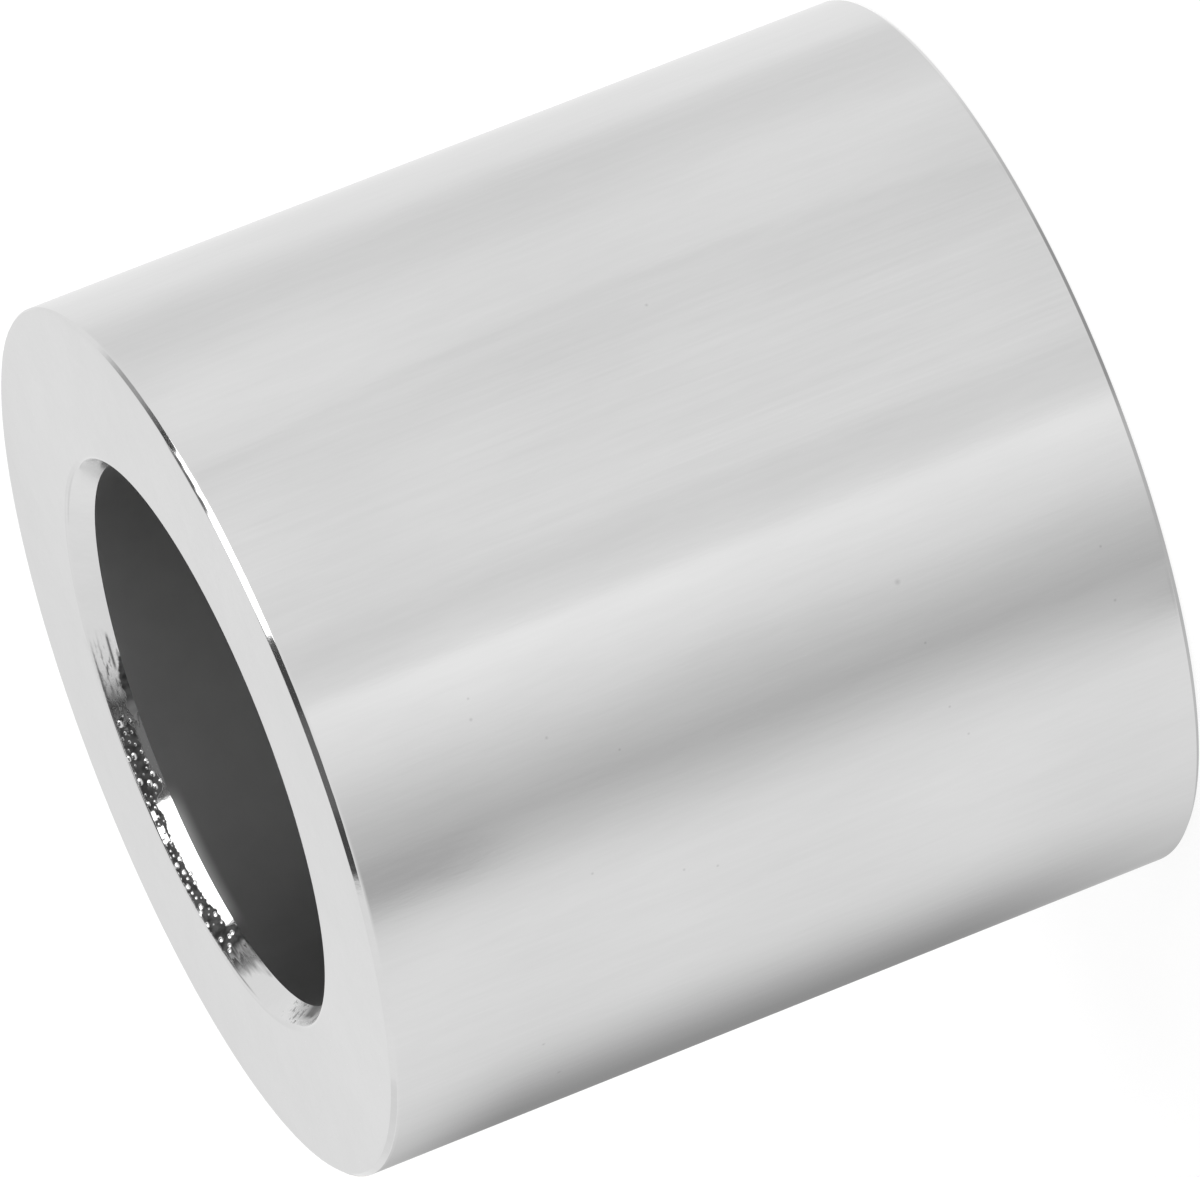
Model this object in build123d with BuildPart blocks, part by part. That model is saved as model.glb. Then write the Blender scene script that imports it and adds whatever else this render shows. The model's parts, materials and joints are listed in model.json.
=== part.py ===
"""Spacer sleeve: a short bright-plated steel tube that holds two parts apart on a screw.

The sleeve is one turned piece. It stands on its lower end face, with its axis on +Z
and its origin at the centre of that face. All lengths are in millimetres.
"""
import os
from math import radians, tan

from build123d import *

# Driving dimensions
outer_diameter = 13.0
bore_diameter = 8.1  # clears an 8 mm screw
length = 12.45
edge_break = 0.07  # leg of the 45 degree chamfer on both outer rims
countersink_depth = 0.35  # how far each bore mouth flares down into the wall
countersink_angle = 60.0  # included angle of the flare, in degrees
lip_radius = 0.1  # rounding where the flare runs out into the end face

# Worked out from the driving dimensions
outer_radius = outer_diameter / 2
bore_radius = bore_diameter / 2
mouth_radius = bore_radius + countersink_depth * tan(radians(countersink_angle / 2))

with BuildPart() as sleeve:
    # Bar stock, cut to length
    with BuildSketch(Plane.XY):
        Circle(outer_radius)
    extrude(amount=length)

    # Both outer rims are broken with a small chamfer
    outer_rims = sleeve.edges().filter_by(GeomType.CIRCLE)
    chamfer(outer_rims, edge_break)

    # The through bore, countersunk from both ends
    end_faces = sleeve.faces().filter_by(Axis.Z)
    with Locations(*end_faces):
        CounterSinkHole(
            radius=bore_radius,
            counter_sink_radius=mouth_radius,
            counter_sink_angle=countersink_angle,
        )

    # The lips of both bore mouths are rounded
    end_rims = sleeve.faces().filter_by(Axis.Z).edges()
    mouth_lips = end_rims.group_by(SortBy.RADIUS)[0]
    fillet(mouth_lips, lip_radius)

sleeve.part.label = "sleeve"

os.makedirs("parts", exist_ok=True)
export_step(sleeve.part, "parts/sleeve.step")
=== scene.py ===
"""Spacer sleeve: the finish of a bright-plated steel sleeve, in a plain studio.

Everything is in metres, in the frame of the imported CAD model: the sleeve stands on its
lower end face, with its axis on +Z. MM turns the millimetres below into metres.
Angles around the sleeve are in degrees from +X towards +Y, unless a comment says otherwise.
"""
import json
import random
from math import cos, hypot, pi, radians, sin, tan

import bpy
from mathutils import Matrix, Vector, noise


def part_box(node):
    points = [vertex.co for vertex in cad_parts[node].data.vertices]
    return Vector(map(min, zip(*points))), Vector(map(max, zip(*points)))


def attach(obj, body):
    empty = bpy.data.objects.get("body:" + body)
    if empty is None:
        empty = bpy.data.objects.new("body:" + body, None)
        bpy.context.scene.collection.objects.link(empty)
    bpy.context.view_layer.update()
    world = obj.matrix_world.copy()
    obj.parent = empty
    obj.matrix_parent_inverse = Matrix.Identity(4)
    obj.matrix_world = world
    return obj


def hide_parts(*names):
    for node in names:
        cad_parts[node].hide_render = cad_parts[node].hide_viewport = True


MM = 0.001

# ---------------------------------------------------------------- the frame

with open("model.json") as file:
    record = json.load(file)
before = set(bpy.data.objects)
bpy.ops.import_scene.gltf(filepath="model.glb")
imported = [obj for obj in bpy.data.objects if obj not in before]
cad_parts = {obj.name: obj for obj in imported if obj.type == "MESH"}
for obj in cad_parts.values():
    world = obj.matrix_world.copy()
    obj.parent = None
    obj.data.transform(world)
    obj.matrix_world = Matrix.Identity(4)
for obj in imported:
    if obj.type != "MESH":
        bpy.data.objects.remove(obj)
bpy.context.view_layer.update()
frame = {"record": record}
low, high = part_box("sleeve")
bore_mount = next(mount for mount in frame["record"]["mounts"] if mount["name"] == "bore")

LENGTH = high[2] - low[2]
OUTER_RADIUS = min(-low[0], high[0], -low[1], high[1])
BORE_RADIUS = bore_mount["dims"]["r_mm"] * MM
BORE_WALL = bore_mount["dims"]["length_mm"] * MM

# The small forms of the CAD sleeve
EDGE_BREAK = 0.07 * MM
FLARE_DEPTH = (LENGTH - BORE_WALL) / 2
FLARE_TILT = radians(60)  # the flare's surface, measured from the flat end face
LIP_RADIUS = 0.1 * MM
LIP_TANGENT = LIP_RADIUS * tan(FLARE_TILT / 2)
MOUTH_RADIUS = BORE_RADIUS + FLARE_DEPTH / tan(FLARE_TILT)
FACE_INNER = MOUTH_RADIUS + LIP_TANGENT  # where the flat end face runs into the lip

# ---------------------------------------------------------------- small helpers


def smooth_step(value, start, end):
    """0 before start, 1 past end, and a soft S between them."""
    share = min(max((value - start) / (end - start), 0.0), 1.0)
    return share * share * (3 - 2 * share)


def window(value, start, end, feather):
    """1 between start and end, falling off softly over feather on both sides."""
    rise = smooth_step(value, start - feather, start + feather)
    fall = smooth_step(value, end - feather, end + feather)
    return rise * (1 - fall)


def between(first, last, share):
    """The point at a share of the way from the first point to the last."""
    return tuple(a + (b - a) * share for a, b in zip(first, last))


def facing(turn):
    """A place around the sleeve as the camera sees it, for an angle from +X towards +Y.

    It is 0 at the upper edge of the outer wall in the picture, 90 where the wall faces the
    camera and 180 at its lower edge, so that 180 to 360 is the side away from the camera.
    """
    return -turn % 360


def direction(azimuth, elevation):
    """A unit vector. Azimuth 0 is +Y and 90 is +X, in degrees; elevation is up from level."""
    azimuth, elevation = radians(azimuth), radians(elevation)
    return Vector((sin(azimuth) * cos(elevation), cos(azimuth) * cos(elevation), sin(elevation)))


class Graph:
    """A few short ways to add nodes to one node tree."""

    def __init__(self, tree):
        self.nodes = tree.nodes
        self.links = tree.links
        self.nodes.clear()

    def add(self, kind, **settings):
        """A new node with its settings."""
        node = self.nodes.new(kind)
        for name, value in settings.items():
            setattr(node, name, value)
        return node

    def feed(self, socket, value):
        """Give a socket its value: a link from another node's output, or a constant."""
        if isinstance(value, bpy.types.NodeSocket):
            self.links.new(value, socket)
        else:
            socket.default_value = value

    def number(self, operation, *values):
        """The result of a sum on numbers."""
        node = self.add("ShaderNodeMath", operation=operation)
        for socket, value in zip(node.inputs, values):
            self.feed(socket, value)
        return node.outputs[0]

    def vector(self, operation, *values):
        """The result of a sum on vectors."""
        node = self.add("ShaderNodeVectorMath", operation=operation)
        for socket, value in zip(node.inputs, values):
            self.feed(socket, value)
        return node.outputs["Value" if operation in ("DOT_PRODUCT", "DISTANCE") else "Vector"]

    def separate(self, vector):
        """The three parts of a vector."""
        node = self.add("ShaderNodeSeparateXYZ")
        self.feed(node.inputs[0], vector)
        return node.outputs

    def step(self, value, start, end, low=0.0, high=1.0):
        """A soft step from low, before start, to high, past end."""
        node = self.add("ShaderNodeMapRange", interpolation_type="SMOOTHSTEP")
        for socket, entry in zip(node.inputs, (value, start, end, low, high)):
            self.feed(socket, entry)
        return node.outputs[0]

    def step_line(self, value, start, end):
        """0 before start, 1 past end, and straight between them."""
        node = self.add("ShaderNodeMapRange", clamp=True)
        for socket, entry in zip(node.inputs, (value, start, end)):
            self.feed(socket, entry)
        return node.outputs[0]

    def window(self, value, start, end, feather):
        """1 between start and end, falling off softly over feather on both sides."""
        rise = self.step(value, start - feather, start + feather)
        fall = self.step(value, end - feather, end + feather, 1.0, 0.0)
        return self.number("MULTIPLY", rise, fall)

    def mix(self, share, first, second):
        """A number between first and second."""
        node = self.add("ShaderNodeMix", data_type="FLOAT")
        for socket, value in zip(node.inputs, (share, None, first, second)):
            if value is not None:
                self.feed(socket, value)
        return node.outputs[0]

    def noise(self, vector, scale, detail=2.0, roughness=0.5):
        """Smooth noise between 0 and 1."""
        node = self.add("ShaderNodeTexNoise")
        self.feed(node.inputs["Vector"], vector)
        node.inputs["Scale"].default_value = scale
        node.inputs["Detail"].default_value = detail
        node.inputs["Roughness"].default_value = roughness
        return node.outputs["Fac"]

    def attribute(self, name):
        """A number that the mesh carries at its vertices."""
        return self.add("ShaderNodeAttribute", attribute_name=name).outputs["Fac"]

    def bump(self, height, distance, normal=None):
        """A normal from a height, on top of another bump's normal if one is given."""
        node = self.add("ShaderNodeBump")
        node.inputs["Distance"].default_value = distance
        self.feed(node.inputs["Height"], height)
        if normal is not None:
            self.feed(node.inputs["Normal"], normal)
        return node.outputs[0]


# ---------------------------------------------------------------- the sleeve's section

WALL, RIM, FACE, MOUTH, BORE = range(5)

# The rows of the mesh, from the middle of the wall to the middle of the bore
EDGE_ROUNDING = 0.012 * MM  # the finish rounds both edges of the edge break
BESIDE_RIM = 0.05 * MM  # how far from the rim the next row lies, on the wall and on the face
MOUTH_STRIP = 0.12 * MM  # the strip of the end face that is meshed as finely as the lip
BELOW_MOUTH = 0.02 * MM  # how far under the mouth the bore's next row lies
WALL_ROWS = 5
ROUNDING_ROWS = 3
CHAMFER_ROWS = (0.08, 0.3, 0.5, 0.7, 0.92, 1.0)  # as shares of the way over the edge break
FACE_ROWS = 5
BORE_ROWS = 8
BORE_PULL = 1.6  # crowds the bore's rows towards the mouth
UPPER_SPACING = 0.01 * MM  # between the rows of the upper mouth
LOWER_SPACING = 0.03 * MM  # and of the lower one


def arc(centre, radius, start, end, steps):
    """Points on an arc in the (radius, height) plane, without its first point."""
    points = []
    for step in range(1, steps + 1):
        angle = start + (end - start) * step / steps
        points.append((centre[0] + radius * cos(angle), centre[1] + radius * sin(angle)))
    return points


def line(first, last, steps, pull=1.0):
    """Points on a straight line, without its first point. A pull over 1 crowds them at the start."""
    return [between(first, last, (step / steps) ** pull) for step in range(1, steps + 1)]


def in_zone(points, zone):
    """Points of the section with their zone, as (radius, height, zone)."""
    return [(radius, height, zone) for radius, height in points]


def wall_section(top):
    """From mid-height up the outer wall and in over the edge break."""
    quarter = pi / 4
    slack = EDGE_ROUNDING * tan(quarter / 2)
    wall_end = (OUTER_RADIUS, top - EDGE_BREAK - slack)
    wall = [(OUTER_RADIUS, 0.0)]
    wall += line(wall[0], (OUTER_RADIUS, wall_end[1] - BESIDE_RIM), WALL_ROWS)

    outer_centre = (OUTER_RADIUS - EDGE_ROUNDING, wall_end[1])
    inner_centre = (OUTER_RADIUS - EDGE_BREAK - slack, top - EDGE_ROUNDING)
    rim = [wall_end]
    rim += arc(outer_centre, EDGE_ROUNDING, 0, quarter, ROUNDING_ROWS)
    chamfer_start = rim[-1]
    chamfer_end = arc(inner_centre, EDGE_ROUNDING, quarter, quarter, 1)[0]
    rim += [between(chamfer_start, chamfer_end, share) for share in CHAMFER_ROWS]
    rim += arc(inner_centre, EDGE_ROUNDING, quarter, 2 * quarter, ROUNDING_ROWS)
    return in_zone(wall, WALL) + in_zone(rim, RIM)


def end_section(rim_radius, top, spacing):
    """From the rim in over the end face and the lip, down the flare and on to mid-bore."""
    beside_rim = (rim_radius - BESIDE_RIM, top)
    beside_lip = (FACE_INNER + MOUTH_STRIP, top)
    face = [beside_rim] + line(beside_rim, beside_lip, FACE_ROWS)

    lip_centre = (FACE_INNER, top - LIP_RADIUS)
    lip_rows = round(LIP_RADIUS * FLARE_TILT / spacing)
    flare_rows = round((FLARE_DEPTH / sin(FLARE_TILT) - LIP_TANGENT) / spacing)
    bore_start = (BORE_RADIUS, top - FLARE_DEPTH)
    mouth = line(beside_lip, (FACE_INNER, top), round(MOUTH_STRIP / spacing))
    mouth += arc(lip_centre, LIP_RADIUS, pi / 2, pi / 2 + FLARE_TILT, lip_rows)
    mouth += line(mouth[-1], bore_start, flare_rows)

    below_mouth = (BORE_RADIUS, bore_start[1] - BELOW_MOUTH)
    bore = [below_mouth] + line(below_mouth, (BORE_RADIUS, 0.0), BORE_ROWS, pull=BORE_PULL)
    return in_zone(face, FACE) + in_zone(mouth, MOUTH) + in_zone(bore, BORE)


def half_profile(spacing):
    """The section from mid-height up the outer wall, in over the rim, and down to mid-bore.

    Gives (radius, height above mid-height, zone) for each point. The spacing is that of the
    points from beside the lip to the bore.
    """
    top = LENGTH / 2
    wall = wall_section(top)
    return wall + end_section(wall[-1][0], top, spacing)


def sleeve_profile():
    """The whole section, as one closed loop of (radius, height, zone), from mid-wall upwards."""
    middle = LENGTH / 2
    upper = [(radius, middle + height, zone) for radius, height, zone in half_profile(UPPER_SPACING)]
    lower = [(radius, middle - height, zone) for radius, height, zone in half_profile(LOWER_SPACING)]
    return upper + lower[-2:0:-1]


def profile_normals(profile):
    """The outward normal (out, up) at each point of the closed section."""
    normals = []
    for index in range(len(profile)):
        before, after = profile[index - 1], profile[(index + 1) % len(profile)]
        run, rise = after[0] - before[0], after[1] - before[1]
        size = hypot(run, rise)
        normals.append((rise / size, -run / size))
    return normals


# ---------------------------------------------------------------- the rough plating in the mouth

# Along one side of the upper mouth the plating grew rough. Places there are given as turn,
# the angle around the sleeve, and travel, the distance in millimetres across the mouth from
# the end face towards the bore: the lip starts at 0.12, the flare at 0.225 and the bore at 0.57.
ROUGH_START = 58.0  # in degrees, as a turn
ROUGH_END = 148.4
DEGREE_OF_MOUTH = radians(1) * (BORE_RADIUS + FACE_INNER) / 2 / MM  # one degree around, in mm
BAND_OUTER = 0.197  # the dark band's edges, as travels
BAND_INNER = 0.37


def wander(turn, travel, coarseness, seed):
    """Smooth noise over the mouth, with features of about one over the coarseness, in mm."""
    across = travel * coarseness
    around = turn * DEGREE_OF_MOUTH * coarseness
    return noise.noise(Vector((around, across, seed)))


def burnt_band(turn):
    """Where the dark rough plating begins and ends across the mouth, at an angle."""
    outer = BAND_OUTER - 0.014 * window(turn, 105, 128.5, 1.5) + 0.01 * smooth_step(turn, 130, 136)
    outer += 0.01 * wander(turn, 0, 9, 3.0)
    # Towards the bore it reaches further at both ends, and has two short tongues
    inner = BAND_INNER - 0.04 * smooth_step(turn, 122, 110) + 0.03 * window(turn, 99.5, 103, 0.8)
    inner += 0.12 * (1 - smooth_step(turn, 95.0, 98.5)) + 0.08 * window(turn, 92.3, 96.8, 0.8)
    inner += 0.06 * smooth_step(turn, 121, 124) + 0.13 * smooth_step(turn, 128, 129.5)
    inner += 0.02 * wander(turn, 0, 12, 8.0)
    return outer, inner


def clean_patch(turn, travel):
    """The few small clean places in the dark band, from 0 to 1."""
    wavy = turn + 0.5 * wander(turn, travel, 20, 9.0)
    broad = window(wavy, 102.5, 105.8, 0.4) * (1 - smooth_step(travel, 0.28, 0.3))
    narrow = window(turn, 99.2, 101, 0.4) * (1 - smooth_step(travel, 0.25, 0.27))
    slanted = window(turn + 10 * travel, 108.6, 109.4, 0.35) * smooth_step(travel, 0.26, 0.3)
    return max(broad, narrow, slanted)


def dark_band(turn, travel, ragged):
    """The dark band itself, from 0 to 1, with ragged edges and ends."""
    outer, inner = burnt_band(turn)
    across = window(travel + ragged, outer, inner, 0.014)
    first_end = turn + 5 * wander(turn, travel, 17, 15.0) + 3 * wander(turn, travel, 34, 6.0)
    last_end = turn + 1.5 * wander(turn, travel, 14, 5.0)
    along = smooth_step(first_end, 77.5, 82.5) * (1 - smooth_step(last_end, 132.5, 138))
    return along * across * (1 - clean_patch(turn, travel))


def streaks_past_last_end(turn, travel):
    """Streaks that thin out past the band's last end, from 0 to 1."""
    streak = noise.noise(Vector((turn * 0.16, travel * 17, 11.0)))
    streak += 0.6 * noise.noise(Vector((turn * 0.3, travel * 36, 4.0)))
    reach = 142 + 5 * smooth_step(travel, 0.36, 0.52) + 4 * streak
    thinning = min(max((reach - turn) / (reach - 133), 0.0), 1.0)
    return smooth_step(turn, 128, 131) * thinning * (1.0 + 0.5 * streak)


def flecks_before_first_end(turn, travel):
    """Flecks that gather before the band's first end, from 0 to 1."""
    fleck = noise.noise(Vector((turn * 0.35, travel * 24, 8.0)))
    fleck += 0.5 * noise.noise(Vector((turn * 0.9, travel * 50, 1.0)))
    gathering = smooth_step(turn, 60, 72) * (1 - smooth_step(turn, 83, 85))
    return 0.75 * gathering * smooth_step(fleck, 0.08 + 0.05 * smooth_step(turn, 76, 80), 0.5)


def blot_at_bore(turn, travel, ragged):
    """A dark blot at the bore's edge before the band's first end, with a thin tail, from 0 to 1."""
    edge = 0.447 + 0.05 * wander(turn, 0, 5, 7.0) + 1.5 * ragged
    edge += 0.13 * (1 - smooth_step(turn, 64, 74))
    wavy = turn + 3 * wander(turn, travel, 6, 6.0)
    blot = window(wavy, 66.5, 81.5, 1.4) * smooth_step(travel, edge - 0.02, edge + 0.02)
    blot *= 1 - 0.25 * smooth_step(turn, 75, 79)
    tail = window(turn, 62.5, 70, 1.0) * window(travel, 0.435, 0.47, 0.015)
    return max(blot, 0.8 * tail)


def burnt_share(turn, travel):
    """How dark and rough the plating is at a place in the mouth, from 0 to 1."""
    ragged = 0.02 * wander(turn, travel, 22, 0.0)
    off_the_face = window(travel + ragged, 0.2, 0.62, 0.03)
    feathers = max(streaks_past_last_end(turn, travel), flecks_before_first_end(turn, travel))
    dark = max(dark_band(turn, travel, ragged), blot_at_bore(turn, travel, ragged))
    return min(max(dark, off_the_face * feathers, 0.0), 1.0)


# The larger nodules, as (turn, travel, radius in mm): some stand alone and some run together
NODULES = (
    (133.6, 0.285, 0.040),
    (132.6, 0.325, 0.040),
    (130.1, 0.265, 0.046),
    (130.8, 0.395, 0.042),
    (130.6, 0.457, 0.045),
    (125.3, 0.205, 0.045),
    (124.5, 0.385, 0.042),
    (122.4, 0.180, 0.036),
    (122.0, 0.215, 0.038),
    (121.1, 0.255, 0.045),
    (116.0, 0.225, 0.048),
    (116.1, 0.348, 0.034),
    (114.5, 0.280, 0.026),
    (114.0, 0.352, 0.034),
    (113.0, 0.272, 0.046),
    (111.0, 0.225, 0.048),
    (110.2, 0.303, 0.044),
    (97.6, 0.228, 0.034),
    (95.0, 0.420, 0.042),
    (94.0, 0.362, 0.050),
    (94.4, 0.515, 0.030),
    (93.0, 0.236, 0.050),
    (92.5, 0.452, 0.042),
    (89.7, 0.430, 0.036),
    (88.0, 0.292, 0.050),
    (88.1, 0.205, 0.040),
    (81.2, 0.262, 0.050),
)

NODULE_LENGTH = 1.3  # a nodule's half axes around and across the mouth, as shares of its radius
NODULE_WIDTH = 0.9
NODULE_HEIGHT = 0.3  # and its height
SMALL_NODULE_TRIES = 400
SMALL_NODULE_GAP = 0.035  # the least gap to the next nodule, in mm
SMALL_NODULE_SEED = 11


def scatter_nodules():
    """The large nodules and small ones between them, clear of each other."""
    draw = random.Random(SMALL_NODULE_SEED)
    nodules = list(NODULES)
    for _ in range(SMALL_NODULE_TRIES):
        turn = draw.uniform(79, 127)
        outer, inner = burnt_band(turn)
        travel = draw.uniform(outer + 0.02, inner - 0.03)
        radius = draw.uniform(0.016, 0.028)
        clear = True
        for other_turn, other_travel, other_radius in nodules:
            gap = hypot((turn - other_turn) * DEGREE_OF_MOUTH, travel - other_travel)
            clear = clear and gap > radius + other_radius + SMALL_NODULE_GAP
        if clear:
            nodules.append((turn, travel, radius))
    return nodules


def nodule_rise(turn, travel, nodules):
    """How far up a nodule a place is, from 0 at its foot to 1 at its top, and the nodule's radius."""
    rise, size = 0.0, 0.0
    for other_turn, other_travel, radius in nodules:
        along = (turn - other_turn) * DEGREE_OF_MOUTH / NODULE_LENGTH
        if abs(along) < radius:
            across = (travel - other_travel) / NODULE_WIDTH
            share = 1 - hypot(along, across) / radius
            if share > rise:
                rise, size = share, radius
    return rise, size


# ---------------------------------------------------------------- wear and a painted rim reflection at the upper end


def rim_scale(turn):
    """The upper rim's edge break against its nominal size: it is worn unevenly around the end."""
    around = facing(turn)
    # Smallest at the wall's upper edge in the picture, and full from where it faces the camera on
    scale = 0.4 + 0.32 * smooth_step(min(around, 360 - around), 14, 32)
    scale += 0.33 * smooth_step(around, 46, 66) * (1 - smooth_step(around, 310, 345))
    scale -= 0.05 * smooth_step(around, 80, 84)
    coarse = 0.06 * noise.noise(Vector((turn * 0.45, 0.0, 0.0)))
    fine = 0.08 * noise.noise(Vector((turn * 1.1, 5.0, 0.0)))
    return scale + coarse + fine


def rim_painted_dark_reflection(turn, height):
    """A painted dark reflection on the rim: a short dark line on the side of the end face, from 0 to 1.
    """
    below = (LENGTH - height) / EDGE_BREAK
    ragged = 0.25 * noise.noise(Vector((turn * 1.3, 9.0, 0.0)))
    across = 1 - smooth_step(below, 0.25 + ragged, 0.5 + ragged)
    return 0.9 * window(facing(turn), 52.5, 64, 1.5) * across


def in_upper_mouth(zone, height):
    """Whether a point of the section is in the upper mouth."""
    return zone == MOUTH and height >= LENGTH / 2


def worn_ends(turn, zone, height):
    """Two amounts from 0 to 1 in parts of the upper mouth: of small dark flecks, and of dullness."""
    if not in_upper_mouth(zone, height):
        return 0.0, 0.0
    around = facing(turn)
    depth = (LENGTH - height) / MM
    flecks = 0.6 * window(around, 183, 199, 5) * smooth_step(depth, -0.01, 0.05)
    dull = window(around, 172, 197, 6) + 0.5 * window((around + 180) % 360, 158, 192, 6)
    dull = dull * smooth_step(depth, 0.03, 0.15) + 0.6 * window(around, 283, 297, 2)
    return flecks, dull


def dark_tip(turn, zone, height):
    """A small dark place where the upper mouth meets the bore, from 0 to 1."""
    if not in_upper_mouth(zone, height):
        return 0.0
    ragged = 0.03 * noise.noise(Vector((turn * 0.9, height / MM * 12, 4.0)))
    depth = (LENGTH - height) / MM + ragged
    return 0.8 * window(facing(turn), 180, 188, 2.0) * smooth_step(depth, 0.13, 0.2)


# ---------------------------------------------------------------- the sleeve's mesh

FINE_COLUMN = 0.8  # the width in degrees of a column of the mesh along the rough plating
FINE_PARTS = 8  # and the narrow columns that each one is parted into within the mouth
PLAIN_COLUMN = 1.2  # the width of a column elsewhere, about
SHARP_ANGLE = radians(26)  # edges that bend by more than this stay sharp


def column_angles():
    """The mesh's columns, as lists of angles: a column's own first, then the narrow ones after it."""
    columns = []
    fine_count = round((ROUGH_END - ROUGH_START) / FINE_COLUMN)
    for index in range(fine_count):
        start = ROUGH_START + index * FINE_COLUMN
        columns.append([start + part * FINE_COLUMN / FINE_PARTS for part in range(FINE_PARTS)])
    rest = 360 - (ROUGH_END - ROUGH_START)
    plain_count = round(rest / PLAIN_COLUMN)
    columns += [[ROUGH_END + rest * index / plain_count] for index in range(plain_count)]
    return columns


def fine_rows(profile):
    """The travel of each row of the upper mouth, in mm, by the row's number."""
    zones = [zone for _, _, zone in profile]
    first = zones.index(MOUTH)
    travels = {}
    for row in range(first, zones.index(BORE)):
        before, here = profile[row - 1], profile[row]
        step = hypot(here[0] - before[0], here[1] - before[1]) / MM
        travels[row] = travels.get(row - 1, 0.0) + step
    return travels


def finished_point(turn, point, normal, travel, nodules):
    """A point of the section at an angle, with wear, nodules and painted rim reflection: its radius,
    height and darkness.
    """
    radius, height, zone = point
    dark = dark_tip(turn, zone, height)
    # The upper rim is worn unevenly, and carries a painted dark reflection
    if zone == RIM and height > LENGTH / 2:
        dark = rim_painted_dark_reflection(turn, height)
        scale = rim_scale(turn)
        radius = OUTER_RADIUS + (radius - OUTER_RADIUS) * scale
        height = LENGTH + (height - LENGTH) * scale
    if travel is not None and ROUGH_START < turn < ROUGH_END:
        rise, size = nodule_rise(turn, travel, nodules)
        bright = smooth_step(rise, 0.08, 0.3) * smooth_step(size, 0.0, 0.04)
        dark = max(dark, burnt_share(turn, travel)) * (1 - bright)
        lift = NODULE_HEIGHT * size * (1 - (1 - rise) ** 2) * MM
        lift *= window(turn, ROUGH_START + 3, ROUGH_END - 3, 1.5) * (1 - smooth_step(travel, 0.5, 0.56))
        out, up = normal
        radius += out * lift
        height = min(height + up * lift, LENGTH)
    return radius, height, dark


def sleeve_points(profile, columns):
    """The vertices, their numbers by (row, column, part), and the values that they carry."""
    normals = profile_normals(profile)
    travels = fine_rows(profile)
    nodules = scatter_nodules()
    vertices, grid = [], {}
    # The darkness layer holds the rough plating and the rim's painted dark reflection
    layers = {"burnt_and_painted_reflection": [], "flecks": [], "dull": []}
    for column, angles in enumerate(columns):
        for row, point in enumerate(profile):
            travel = travels.get(row)
            for part, turn in enumerate(angles if row in travels else angles[:1]):
                radius, height, dark = finished_point(turn, point, normals[row], travel, nodules)
                flecks, dull = worn_ends(turn, point[2], height)
                grid[row, column, part] = len(vertices)
                vertices.append((radius * cos(radians(turn)), radius * sin(radians(turn)), height))
                layers["burnt_and_painted_reflection"].append(dark)
                layers["flecks"].append(flecks)
                layers["dull"].append(dull)
    return vertices, grid, layers


def row_edge(grid, row, column, column_count):
    """The vertices along a row, from the start of a column to the start of the next."""
    own = [grid[row, column, part] for part in range(FINE_PARTS) if (row, column, part) in grid]
    return own + [grid[row, (column + 1) % column_count, 0]]


def sleeve_faces(profile, columns, grid):
    """The faces, and the zone of each. One large face leads from a plain row to a parted one."""
    faces, face_zones = [], []
    for column in range(len(columns)):
        for row in range(len(profile)):
            after = (row + 1) % len(profile)
            here = row_edge(grid, row, column, len(columns))
            there = row_edge(grid, after, column, len(columns))
            if len(here) == len(there):
                strip = list(zip(here, here[1:], there[1:], there))
            else:
                strip = [here + there[::-1]]
            faces += strip
            face_zones += [profile[after][2]] * len(strip)
    return faces, face_zones


def build_sleeve():
    """The sleeve as one closed mesh, with its materials by zone."""
    profile = sleeve_profile()
    columns = column_angles()
    vertices, grid, layers = sleeve_points(profile, columns)
    faces, face_zones = sleeve_faces(profile, columns, grid)

    mesh = bpy.data.meshes.new("sleeve_finish")
    mesh.from_pydata(vertices, [], faces)
    mesh.materials.append(plating_material())
    mesh.materials.append(bore_material())
    for face, zone in zip(mesh.polygons, face_zones):
        face.material_index = 1 if zone == BORE else 0
    mesh.shade_smooth()
    mesh.set_sharp_from_angle(angle=SHARP_ANGLE)
    for name, values in layers.items():
        layer = mesh.attributes.new(name, "FLOAT", "POINT")
        layer.data.foreach_set("value", values)
    sleeve = bpy.data.objects.new("sleeve_finish", mesh)
    bpy.context.collection.objects.link(sleeve)
    return sleeve


# ---------------------------------------------------------------- materials

# The plating. Each pair is the least and the most of a value
PLATING_TONE = (0.613, 0.627)
PLATING_ROUGHNESS = (0.06, 0.09)
LINE_STRENGTH = (0.024, 0.078)
# The dark tone of the rough plating, also used for the rim's painted dark reflection
SOOT_AND_PAINTED_DARK_TONE = (0.035, 0.10)
SOOT_ROUGHNESS = 0.7
DULL_ROUGHNESS = 0.33
SWELL_HEIGHT = 0.0012 * MM
GRAIN_HEIGHT = 0.0006 * MM
PIT_DARKNESS = 0.2
PIT_SPREAD = 1.3  # how far a pit's shade reaches, against its radius

# The bore
# The bore's tone is partly painted shade, darkest on the side that lies low in the picture
BORE_TONE = (0.203, 0.345)  # on the side that lies low in the picture, and on the other
BORE_ROUGHNESS = (0.43, 0.45)
RING_HEIGHT = 0.0003 * MM
# A painted highlight on the bore's edge beside the mouth
PAINTED_HIGHLIGHT_STRETCH = (0.897, 0.975)  # as shares of a turn from +Y through +X
PAINTED_HIGHLIGHT_GAIN = 3.2  # how much brighter the painted highlight makes the edge


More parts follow.
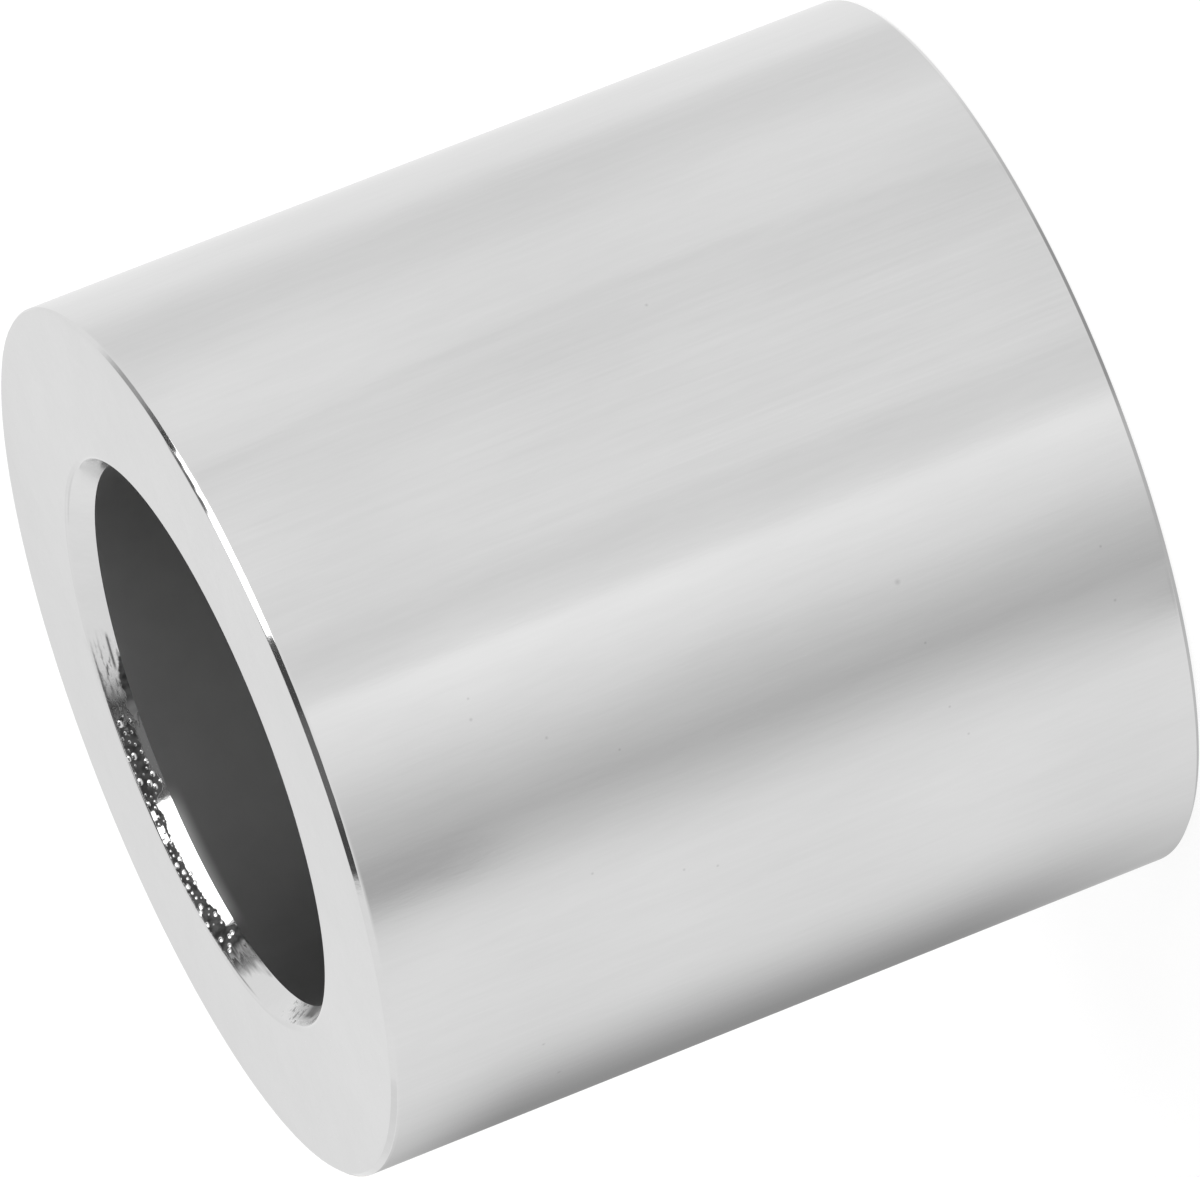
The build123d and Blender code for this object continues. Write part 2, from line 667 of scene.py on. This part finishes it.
def metal(graph, tone, roughness, normal):
    """A grey metal shader, linked to the material's output."""
    colour = graph.add("ShaderNodeCombineColor")
    for socket in colour.inputs[:3]:
        graph.feed(socket, tone)
    shader = graph.add("ShaderNodeBsdfPrincipled")
    shader.inputs["Metallic"].default_value = 1.0
    graph.feed(shader.inputs["Base Color"], colour.outputs[0])
    graph.feed(shader.inputs["Roughness"], roughness)
    graph.feed(shader.inputs["Normal"], normal)
    output = graph.add("ShaderNodeOutputMaterial")
    graph.links.new(shader.outputs[0], output.inputs["Surface"])


def new_material(name):
    """An empty material, and its nodes."""
    material = bpy.data.materials.new(name)
    material.use_nodes = True
    return material, Graph(material.node_tree)


def object_place(graph):
    """A place on the sleeve, in metres and in millimetres."""
    place = graph.add("ShaderNodeTexCoord").outputs["Object"]
    return place, graph.vector("MULTIPLY", place, (1 / MM, 1 / MM, 1 / MM))


def drawn_out(graph, in_mm, share):
    """Places for a texture that is drawn out along the axis, the more the smaller the share."""
    return graph.vector("MULTIPLY", in_mm, (1.0, 1.0, share))


# Pits in the outer wall, as (turn in degrees, height and radius in mm)
PITS = (
    (257.0, 3.86, 0.050),
    (301.0, 5.54, 0.028),
    (260.5, 10.21, 0.030),
    (263.0, 10.15, 0.022),
    (255.0, 9.28, 0.028),
    (251.8, 0.93, 0.026),
    (250.2, 8.34, 0.024),
    (248.5, 3.73, 0.024),
    (244.5, 0.93, 0.028),
    (239.2, 3.61, 0.024),
    (235.8, 9.15, 0.026),
    (234.5, 3.42, 0.024),
    (231.2, 7.84, 0.026),
    (229.8, 7.35, 0.026),
    (210.0, 10.15, 0.032),
    (200.5, 9.85, 0.040),
    (75.0, 6.30, 0.040),
    (130.0, 3.10, 0.030),
    (20.0, 8.70, 0.032),
)


def pit_mask(graph, in_mm):
    """The pits' darkness, fading from their middles to 0."""
    mask = 0.0
    wall = OUTER_RADIUS / MM
    for turn, height, radius in PITS:
        centre = (wall * cos(radians(turn)), wall * sin(radians(turn)), height)
        away = graph.vector("DISTANCE", in_mm, centre)
        pit = graph.step(away, 0.0, PIT_SPREAD * radius, PIT_DARKNESS, 0.0)
        mask = graph.number("MAXIMUM", mask, pit)
    return mask


def drawn_lines(graph, in_mm):
    """Fine lines along the axis, as a factor of about 1: stronger in patches on one side."""
    fine = graph.noise(drawn_out(graph, in_mm, 0.03), 16.0)
    broad = graph.noise(drawn_out(graph, in_mm, 0.04), 5.0)
    x, y, _ = graph.separate(in_mm)
    side = graph.window(x, 0.10 * OUTER_RADIUS / MM, 0.54 * OUTER_RADIUS / MM, 0.5)
    side = graph.number("MULTIPLY", side, graph.step(y, 0.5, -0.5))
    patchy = graph.step(graph.noise(in_mm, 0.35, detail=1.0), 0.4, 0.65, 0.35, 1.0)
    strength = graph.mix(graph.number("MULTIPLY", side, patchy), *LINE_STRENGTH)
    lines = graph.number("ADD", graph.number("SUBTRACT", fine, 0.5), graph.number("SUBTRACT", broad, 0.5))
    return graph.number("ADD", 1.0, graph.number("MULTIPLY", lines, strength))


def plating_tone(graph, in_mm, grain):
    """The clean plating's tone, with soft clouds and faint lines, a little darker towards +Y."""
    mottle = graph.noise(drawn_out(graph, in_mm, 0.3), 1.3, detail=3.0)
    clouds = graph.noise(in_mm, 0.22, detail=1.0)
    # A little darker towards +Y
    darker_towards_plus_y = graph.step(graph.separate(in_mm)[1], 0.5, 5.0, 1.0, 0.965)
    tone = graph.step(mottle, 0.3, 0.7, *PLATING_TONE)
    tone = graph.number("MULTIPLY", tone, graph.step(grain, 0.3, 0.7, 0.993, 1.007))
    tone = graph.number("MULTIPLY", tone, drawn_lines(graph, in_mm))
    tone = graph.number("MULTIPLY", tone, graph.step(clouds, 0.35, 0.65, 0.99, 1.02))
    return graph.number("MULTIPLY", tone, darker_towards_plus_y)


def dark_places(graph, in_mm):
    """The rough plating, the rim's painted dark reflection, the pits and the small flecks, from 0 to 1.
    """
    amount = graph.attribute("flecks")
    speckle = graph.noise(in_mm, 10.0, roughness=0.6)
    over = graph.number("SUBTRACT", speckle, graph.mix(amount, 0.72, 0.44))
    fleck = graph.number("MULTIPLY", graph.step(over, 0.0, 0.08), amount)
    dark = graph.number("MAXIMUM", graph.attribute("burnt_and_painted_reflection"), pit_mask(graph, in_mm))
    return graph.number("MAXIMUM", dark, fleck)


def plating_material():
    """Bright plating: faint lines along the axis, soft clouds, pits, dark rough places, a painted dark
    rim reflection.
    """
    material, graph = new_material("bright_plating")
    _, in_mm = object_place(graph)
    waves = graph.noise(drawn_out(graph, in_mm, 0.12), 0.9, detail=1.0)
    grain = graph.noise(drawn_out(graph, in_mm, 0.15), 9.0, detail=3.0, roughness=0.6)
    clean = plating_tone(graph, in_mm, grain)
    dark = dark_places(graph, in_mm)
    # The same dark tone paints the rim's dark reflection
    soot_and_painted_dark = graph.step(graph.noise(in_mm, 7.0), 0.3, 0.7, *SOOT_AND_PAINTED_DARK_TONE)
    tone = graph.mix(dark, clean, soot_and_painted_dark)

    glossy = graph.step(grain, 0.3, 0.7, *PLATING_ROUGHNESS)
    glossy = graph.mix(graph.attribute("dull"), glossy, DULL_ROUGHNESS)
    # It turns rough only where it is well darkened, or the edges of dark places would shine
    roughness = graph.mix(graph.step(dark, 0.35, 0.95), glossy, SOOT_ROUGHNESS)
    swell = graph.bump(waves, SWELL_HEIGHT)
    metal(graph, tone, roughness, graph.bump(grain, GRAIN_HEIGHT, normal=swell))
    return material


def bore_material():
    """The bore's wall: duller, darker steel with painted shade and light, faint marks around it, a
    painted edge highlight.
    """
    material, graph = new_material("bore_steel")
    place, in_mm = object_place(graph)
    rings = graph.noise(graph.vector("MULTIPLY", in_mm, (0.3, 0.3, 6.0)), 3.0, detail=3.0)
    blotches = graph.noise(in_mm, 1.5, detail=3.0)
    x, _, z = graph.separate(place)
    side = graph.step_line(x, -BORE_RADIUS, 0.8 * BORE_RADIUS)
    depth = graph.step_line(z, LENGTH - 0.5 * MM, LENGTH - 2.5 * MM)
    # Painted shade darkens the -X side, and painted light brightens the tone deeper in the bore
    tone = graph.mix(side, *BORE_TONE)
    tone = graph.number("MULTIPLY", tone, graph.mix(depth, 0.92, 1.3))
    tone = graph.number("MULTIPLY", tone, graph.step(blotches, 0.3, 0.7, 0.975, 1.025))

    # A painted highlight brightens the edge beside the mouth along a stretch
    bore_start = LENGTH - FLARE_DEPTH
    stretch = graph.window(turn_share(graph, place), *PAINTED_HIGHLIGHT_STRETCH, 0.012)
    edge = graph.step(z, bore_start - 0.2 * MM, bore_start + 0.04 * MM)
    painted_highlight = graph.number("MULTIPLY", stretch, edge)
    tone = graph.number("MULTIPLY", tone, graph.mix(painted_highlight, 1.0, PAINTED_HIGHLIGHT_GAIN))

    roughness = graph.step(rings, 0.3, 0.7, *BORE_ROUGHNESS)
    metal(graph, tone, roughness, graph.bump(rings, RING_HEIGHT))
    return material


# ---------------------------------------------------------------- the studio

# Large panels in the sleeve's reflections, as (name, brightness, edge softness, corners). The
# corners are (azimuth, elevation) in degrees, seen from the sleeve, and a corner's third number
# is the softness of the edge that starts there where it isn't the panel's own. Later panels lie
# in front of earlier ones.
PANELS = (
    ("grey screen by the far wall", 0.52, 0.09, ((44, 33), (62, 31), (73, 46), (48, 47))),
    (
        "grey screen on the left",
        0.96,
        0.05,
        ((-24, 11), (-36, 13), (-49, 24), (-51, 33), (-40, 34), (-24, 22)),
    ),
    (
        "dark half of the room",
        0.09,
        0.03,
        ((-5, 68, 0.12), (77, 24), (103, 20), (164, 30), (-149, 35, 0.015), (-98, 62)),
    ),
    ("pale patch in it", 0.19, 0.04, ((-172, 70), (-128, 62), (-110, 74), (-172, 82))),
    ("grey gap in it", 0.24, 0.06, ((168, 40), (-154, 40), (-150, 66), (150, 66))),
    ("ceiling light", 0.95, 0.03, ((-90, 79), (0, 76), (90, 79), (180, 85))),
    ("lamp", 3.5, 0.012, ((77, 51.5), (103, 23), (164, 32), (138.5, 72.7), (60, 70.5))),
    ("dark spot under the far end", 0.45, 0.04, ((-4, -66), (40, -58), (40, -80), (-4, -80))),
)

FAR_WALL = 0.98  # the brightness of the studio's light wall, far ahead
SIDE_WALL = 1.09  # and at its sides
NADIR = 0.68  # and straight below

# Where one of them gives way to the next, as heights or distances ahead on a unit sphere
FAR_WALL_EDGE = (0.75, 0.95)
HORIZON_EDGE = (-0.22, -0.05)
NADIR_EDGE = (-0.85, -0.6)

# The light under the horizon, which the outer wall reflects as the camera looks down at it, as
# (azimuth in degrees, brightness). A colour ramp holds 32 entries at most.
UNDER_HORIZON = (
    (0, 0.85),
    (8, 0.93),
    (16, 0.97),
    (28, 1.03),
    (36, 1.07),
    (45, 1.09),
    (51, 1.01),
    (62, 0.96),
    (80, 1.06),
    (95, 1.15),
    (112, 1.07),
    (120, 1.02),
    (132, 1.09),
    (150, 1.09),
    (164, 1.06),
    (169, 0.95),
    (176, 1.03),
    (181, 1.08),
    (184, 1.27),
    (190, 1.16),
    (197, 1.10),
    (206, 0.98),
    (222, 0.64),
    (228, 0.68),
    (240, 0.96),
    (252, 1.10),
    (268, 1.10),
    (292, 1.05),
    (312, 0.98),
    (334, 0.72),
    (346, 0.57),
    (351, 0.60),
)


def studio_world():
    """The studio as the sleeve reflects it; the camera itself sees plain white."""
    world = bpy.data.worlds.new("studio")
    bpy.context.scene.world = world
    world.use_nodes = True
    graph = Graph(world.node_tree)
    towards = graph.vector("NORMALIZE", graph.add("ShaderNodeTexCoord").outputs["Generated"])
    _, y, z = graph.separate(towards)
    walls = graph.step(y, *FAR_WALL_EDGE, SIDE_WALL, FAR_WALL)
    level = graph.mix(graph.step(z, *HORIZON_EDGE), under_horizon(graph, towards), walls)
    level = graph.mix(graph.step(z, *NADIR_EDGE), NADIR, level)
    for _, brightness, softness, corners in PANELS:
        level = graph.mix(panel_mask(graph, towards, corners, softness), level, brightness)

    studio = graph.add("ShaderNodeBackground")
    graph.links.new(level, studio.inputs["Color"])
    plain = graph.add("ShaderNodeBackground")
    plain.inputs["Color"].default_value = (1, 1, 1, 1)
    rays = graph.add("ShaderNodeLightPath")
    blend = graph.add("ShaderNodeMixShader")
    graph.links.new(rays.outputs["Is Camera Ray"], blend.inputs[0])
    graph.links.new(studio.outputs[0], blend.inputs[1])
    graph.links.new(plain.outputs[0], blend.inputs[2])
    output = graph.add("ShaderNodeOutputWorld")
    graph.links.new(blend.outputs[0], output.inputs["Surface"])


def turn_share(graph, vector):
    """The azimuth of a vector, as a share of a full turn from +Y through +X."""
    x, y, _ = graph.separate(vector)
    turn = graph.number("DIVIDE", graph.number("ARCTAN2", x, y), 2 * pi)
    return graph.number("FRACT", graph.number("ADD", turn, 1.0))


def under_horizon(graph, towards):
    """The brightness under the horizon, by azimuth."""
    ramp = graph.add("ShaderNodeValToRGB")
    ramp.color_ramp.interpolation = "B_SPLINE"
    stops = ramp.color_ramp.elements
    while len(stops) < len(UNDER_HORIZON):
        stops.new(0.5)
    for stop, (azimuth, brightness) in zip(stops, UNDER_HORIZON):
        stop.position = azimuth / 360
        half = brightness / 2  # so that no stop's colour is over 1
        stop.color = (half, half, half, 1)
    graph.links.new(turn_share(graph, towards), ramp.inputs[0])
    return graph.number("MULTIPLY", ramp.outputs["Color"], 2.0)


def panel_mask(graph, towards, corners, softness):
    """1 inside a convex panel seen from the sleeve, and 0 outside it."""
    points = [direction(azimuth, elevation) for azimuth, elevation, *_ in corners]
    middle = sum(points, Vector()).normalized()
    mask = 1.0
    for index, (_, _, *own_softness) in enumerate(corners):
        inward = points[index].cross(points[(index + 1) % len(points)]).normalized()
        if inward.dot(middle) < 0:
            inward.negate()
        side = graph.vector("DOT_PRODUCT", towards, tuple(inward))
        feather = own_softness[0] if own_softness else softness
        mask = graph.number("MULTIPLY", mask, graph.step(side, -feather, feather))
    return mask


# A thin scrim stands around the sleeve, just where its outer wall looks as the camera sees
# it. It dims the light from behind in a few places, which gives the reflections their
# changes along the sleeve.
SCRIM_RADIUS = 60 * MM
SCRIM_NEAR_END = -1.0 * MM  # the height on the scrim that the sleeve's upper end reflects
SCRIM_FAR_END = -16.3 * MM  # and its lower end
SCRIM_MARGIN = 6 * MM  # how far the scrim goes on past both
SCRIM_SIDES = 96


def scrim_material():
    """Clear, but for the places where the scrim dims the light."""
    material, graph = new_material("scrim")
    place = graph.add("ShaderNodeTexCoord").outputs["Object"]
    azimuth = graph.number("MULTIPLY", turn_share(graph, place), 360.0)
    height = graph.separate(place)[2]
    along = graph.step_line(height, SCRIM_NEAR_END, SCRIM_FAR_END)
    top_fade = graph.step(height, 0.0, SCRIM_NEAR_END + SCRIM_MARGIN, 1.0, 0.0)

    def dim(through, strength, *masks):
        """Take a share of the light away where all the masks are 1, and none at the scrim's top."""
        mask = strength
        for entry in masks + (top_fade,):
            mask = graph.number("MULTIPLY", mask, entry)
        return graph.number("MULTIPLY", through, graph.number("SUBTRACT", 1.0, mask))

    through = 1.0
    # Shade left of the far wall, for the outer wall's lower edge in the picture, fading to both ends
    shade = graph.number("MULTIPLY", graph.step(azimuth, 284, 332), graph.step(azimuth, 354, 346))
    ends = graph.number("MULTIPLY", graph.step(along, -0.02, 0.20), graph.step(along, 1.08, 0.70))
    through = dim(through, 0.47, shade, ends)
    # Slightly less light on the right, towards the lower end
    through = dim(through, 0.06, graph.window(azimuth, 95, 158, 8), along)
    # The dark band under the horizon bends a little further round at both ends
    through = dim(through, 0.22, graph.window(azimuth, 224, 234, 5), graph.step(along, 0.16, 0.08))
    through = dim(through, 0.18, graph.window(azimuth, 228, 238, 4), graph.step(along, 0.88, 0.98))
    # A thin bowed line
    offset = graph.number("SUBTRACT", along, 0.5)
    bow = graph.number("MULTIPLY", graph.number("MULTIPLY", offset, offset), 32.0)
    straight = graph.number("SUBTRACT", azimuth, bow)
    through = dim(through, 0.045, graph.window(straight, 110.5, 113.5, 2.0))

    clear = graph.add("ShaderNodeBsdfTransparent")
    graph.links.new(through, clear.inputs["Color"])
    output = graph.add("ShaderNodeOutputMaterial")
    graph.links.new(clear.outputs[0], output.inputs["Surface"])
    return material


def build_scrim():
    """A band of cylinder around the sleeve, seen only in reflections."""
    levels = (SCRIM_FAR_END - SCRIM_MARGIN, SCRIM_NEAR_END + SCRIM_MARGIN)
    vertices, faces = [], []
    for index in range(SCRIM_SIDES):
        angle = 2 * pi * index / SCRIM_SIDES
        after = (index + 1) % SCRIM_SIDES
        vertices += [(SCRIM_RADIUS * cos(angle), SCRIM_RADIUS * sin(angle), level) for level in levels]
        faces.append((2 * index, 2 * after, 2 * after + 1, 2 * index + 1))
    mesh = bpy.data.meshes.new("scrim")
    mesh.from_pydata(vertices, [], faces)
    mesh.materials.append(scrim_material())
    scrim = bpy.data.objects.new("scrim", mesh)
    bpy.context.collection.objects.link(scrim)
    scrim.visible_camera = False
    scrim.visible_diffuse = False
    scrim.visible_shadow = False


FLOOR_REACH = 1.5  # from its middle to its sides
FLOOR_LEVEL = -0.01 * MM  # just clear of the sleeve's lower end face
FLOOR_TONE = 0.22
FLOOR_GLOW = 0.82  # what makes the floor nearly white, with only a faint shade under the sleeve


def floor_material():
    """Near-white floor, which lets the eye through from below."""
    material, graph = new_material("floor")
    diffuse = graph.add("ShaderNodeBsdfDiffuse")
    diffuse.inputs["Color"].default_value = (FLOOR_TONE, FLOOR_TONE, FLOOR_TONE, 1)
    glow = graph.add("ShaderNodeEmission")
    glow.inputs["Color"].default_value = (1, 1, 1, 1)
    glow.inputs["Strength"].default_value = FLOOR_GLOW
    both = graph.add("ShaderNodeAddShader")
    graph.links.new(diffuse.outputs[0], both.inputs[0])
    graph.links.new(glow.outputs[0], both.inputs[1])
    clear = graph.add("ShaderNodeBsdfTransparent")
    blend = graph.add("ShaderNodeMixShader")
    side = graph.add("ShaderNodeNewGeometry").outputs["Backfacing"]
    graph.links.new(side, blend.inputs[0])
    graph.links.new(both.outputs[0], blend.inputs[1])
    graph.links.new(clear.outputs[0], blend.inputs[2])
    output = graph.add("ShaderNodeOutputMaterial")
    graph.links.new(blend.outputs[0], output.inputs["Surface"])
    return material


def build_floor():
    """A large square floor. The sleeve doesn't reflect it: the studio's lower half stands in for it."""
    mesh = bpy.data.meshes.new("floor")
    signs = ((-1, -1), (1, -1), (1, 1), (-1, 1))
    corners = [(x * FLOOR_REACH, y * FLOOR_REACH, FLOOR_LEVEL) for x, y in signs]
    mesh.from_pydata(corners, [], [(0, 1, 2, 3)])
    mesh.materials.append(floor_material())
    floor = bpy.data.objects.new("floor", mesh)
    bpy.context.collection.objects.link(floor)
    floor.visible_glossy = False


# ---------------------------------------------------------------- the camera

VIEW_ELEVATION = radians(14.503)
VIEW_ROLL = radians(-(90 + 21.43))  # the sleeve's axis lies across the picture, tipped by 21 degrees
VIEW_DISTANCE = 260.50 * MM
LENS = 557.0  # the focal length, in mm, on a sensor as wide as a 35 mm film's frame
SENSOR_WIDTH = 36.0
AIM_OFFSET = Vector((-0.05, 0.0, -0.04)) * MM  # from the sleeve's middle


def build_camera():
    """The camera at the photograph's viewing angle."""
    data = bpy.data.cameras.new("camera")
    data.lens = LENS
    data.sensor_width = SENSOR_WIDTH
    data.clip_start = 0.01
    data.clip_end = 10.0
    camera = bpy.data.objects.new("camera", data)
    bpy.context.collection.objects.link(camera)
    aim = Vector((0, 0, LENGTH / 2)) + AIM_OFFSET
    forward = Vector((0, cos(VIEW_ELEVATION), -sin(VIEW_ELEVATION)))
    upright = forward.to_track_quat("-Z", "Y").to_matrix()
    turned = upright @ Matrix.Rotation(VIEW_ROLL, 3, "Z")
    camera.matrix_world = Matrix.Translation(aim - forward * VIEW_DISTANCE) @ turned.to_4x4()
    bpy.context.scene.camera = camera


# ---------------------------------------------------------------- putting it together

sleeve = build_sleeve()
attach(sleeve, "root")
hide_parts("sleeve")
build_floor()
build_scrim()
studio_world()
build_camera()
bpy.context.scene.view_settings.view_transform = "Standard"
bpy.context.scene.world.cycles.sampling_method = "NONE"  # quicker, and the studio is even enough
